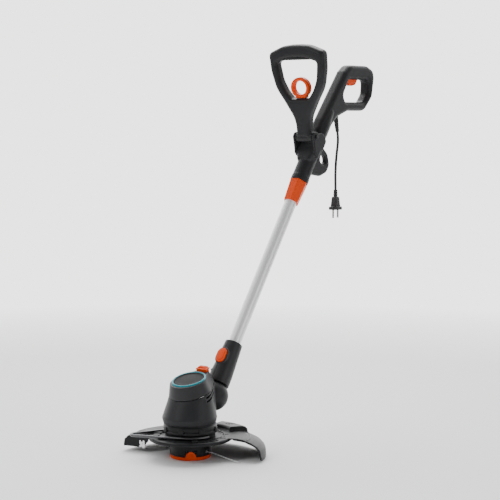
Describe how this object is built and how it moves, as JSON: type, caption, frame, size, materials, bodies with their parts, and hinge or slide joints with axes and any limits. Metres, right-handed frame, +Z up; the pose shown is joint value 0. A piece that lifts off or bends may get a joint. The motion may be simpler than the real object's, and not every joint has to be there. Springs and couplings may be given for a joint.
{
  "type": "string trimmer",
  "caption": "Corded string trimmer with a telescopic metal tube, folding loop handle, closed rear handle, tilting motor head, guard, plant hoop and line spool.",
  "frame": {"origin": "on the spool's axis, at the underside of the spool cap, where the tool stands on level ground", "axes": "-Y to the front of the tool, away from the user; +X to the tool's left as seen by the user behind it; +Z up along the spool's axis"},
  "size_m": [0.3138, 0.7723, 0.883],
  "materials": {
    "graphite_plastic": "fine-grained dark blue-grey plastic",
    "black_plastic": "black plastic, fine texture",
    "orange_plastic": "orange plastic, satin",
    "teal_plastic": "teal plastic, satin",
    "bare_aluminium": "drawn tube, satin",
    "steel": "zinc-plated steel",
    "soft_black": "soft black rubber",
    "copper": "copper",
    "white_nylon": "plain nylon"
  },
  "bodies": {
    "upper_housing": {"handle_shell_left": "graphite_plastic", "handle_shell_right": "graphite_plastic", "handle_screws": "steel", "trigger_pin": "steel", "switch_block": "black_plastic", "strain_relief": "soft_black", "supply_cord": "soft_black", "plug_body": "black_plastic", "plug_pins": "steel", "tube_collet": "black_plastic", "fork_bolt": "steel", "detent_disc": "steel", "coiled_lead": "soft_black"},
    "trigger_lever": {"trigger": "orange_plastic"},
    "collar": {"clamp_collar": "orange_plastic"},
    "loop": {"loop_shell_front": "graphite_plastic", "loop_shell_rear": "graphite_plastic", "loop_screws": "steel", "loop_grip": "soft_black", "latch_spring": "steel"},
    "ring": {"ring_pull": "orange_plastic", "latch_rod": "steel"},
    "tube": {"shaft_tube": "bare_aluminium", "tube_end_bush": "black_plastic", "tube_foot_bush": "black_plastic", "shaft_lead": "soft_black"},
    "lower_sleeve": {"swivel_shell_left": "graphite_plastic", "swivel_shell_right": "graphite_plastic", "swivel_screws": "steel", "swivel_spring": "steel", "tilt_knuckle": "black_plastic"},
    "oval_button": {"swivel_button": "orange_plastic"},
    "head": {"motor_housing_left": "graphite_plastic", "motor_housing_right": "graphite_plastic", "tilt_pin": "steel", "motor_cap": "graphite_plastic", "cap_lid": "black_plastic", "lid_ring": "teal_plastic", "base_collar": "black_plastic", "bearing_plate": "black_plastic", "motor_screws": "steel", "motor_bearings": "steel", "motor_can": "steel", "terminal_block": "black_plastic", "guard": "black_plastic", "guard_screws": "steel", "line_cutter": "steel"},
    "head_button": {"tilt_button": "orange_plastic"},
    "hoop": {"plant_hoop": "steel"},
    "cutting_head": {"motor_shaft": "steel", "rotor_core": "steel", "commutator": "copper", "cooling_fan": "black_plastic", "spool_housing": "black_plastic", "spool_cap": "orange_plastic", "spool_spring": "steel", "line_eyelet": "steel", "cutting_line": "white_nylon"},
    "spool": {"line_spool": "black_plastic", "wound_line": "white_nylon"}
  },
  "joints": [
    {"name": "trigger_press", "type": "hinge", "parent": "upper_housing", "child": "trigger_lever", "pos_m": [0, 0.56576, 0.8171], "axis": [1, 0, 0], "range_deg": [0, 7], "stiffness_Nm_per_rad": 0.8, "springref_deg": -14.32},
    {"name": "collar_turn", "type": "hinge", "parent": "upper_housing", "child": "collar", "pos_m": [0, 0.44376, 0.65111], "axis": [0, 0.5693, 0.8221], "range_deg": [0, 60]},
    {"name": "loop_fold", "type": "hinge", "parent": "upper_housing", "child": "loop", "pos_m": [0, 0.41416, 0.6716], "axis": [1, 0, 0], "range_deg": [-30, 40]},
    {"name": "ring_lift", "type": "slide", "parent": "loop", "child": "ring", "axis": [0, -0.1685, 0.9857], "range_m": [0, 0.008], "stiffness_N_per_m": 400, "springref_m": -0.003, "deforming": ["latch_spring"]},
    {"name": "tube_telescope", "type": "slide", "parent": "upper_housing", "child": "tube", "axis": [0, -0.5693, -0.8221], "range_m": [-0.075, 0.07], "deforming": ["coiled_lead"]},
    {"name": "edge_swivel", "type": "hinge", "parent": "tube", "child": "lower_sleeve", "pos_m": [0, 0.076, 0.12], "axis": [0, 0.5693, 0.8221], "range_deg": [0, 180]},
    {"name": "oval_press", "type": "slide", "parent": "lower_sleeve", "child": "oval_button", "axis": [0, 0.8221, -0.5693], "range_m": [0, 0.002], "stiffness_N_per_m": 900, "springref_m": -0.002, "deforming": ["swivel_spring"]},
    {"name": "head_tilt", "type": "hinge", "parent": "lower_sleeve", "child": "head", "pos_m": [0, 0.076, 0.12], "axis": [1, 0, 0], "range_deg": [-8, 35]},
    {"name": "tilt_press", "type": "slide", "parent": "head", "child": "head_button", "axis": [0, 0.2807, -0.9598], "range_m": [0, 0.003], "stiffness_N_per_m": 900, "springref_m": -0.002},
    {"name": "hoop_turn", "type": "hinge", "parent": "head", "child": "hoop", "pos_m": [0, 0, 0.05], "axis": [0, 0, 1], "range_deg": [0, 90]},
    {"name": "cutting_spin", "type": "hinge", "parent": "head", "child": "cutting_head", "pos_m": [0, 0, 0], "axis": [0, 0, 1], "continuous": true},
    {"name": "spool_feed", "type": "hinge", "parent": "cutting_head", "child": "spool", "pos_m": [0, 0, 0], "axis": [0, 0, 1], "continuous": true}
  ]
}
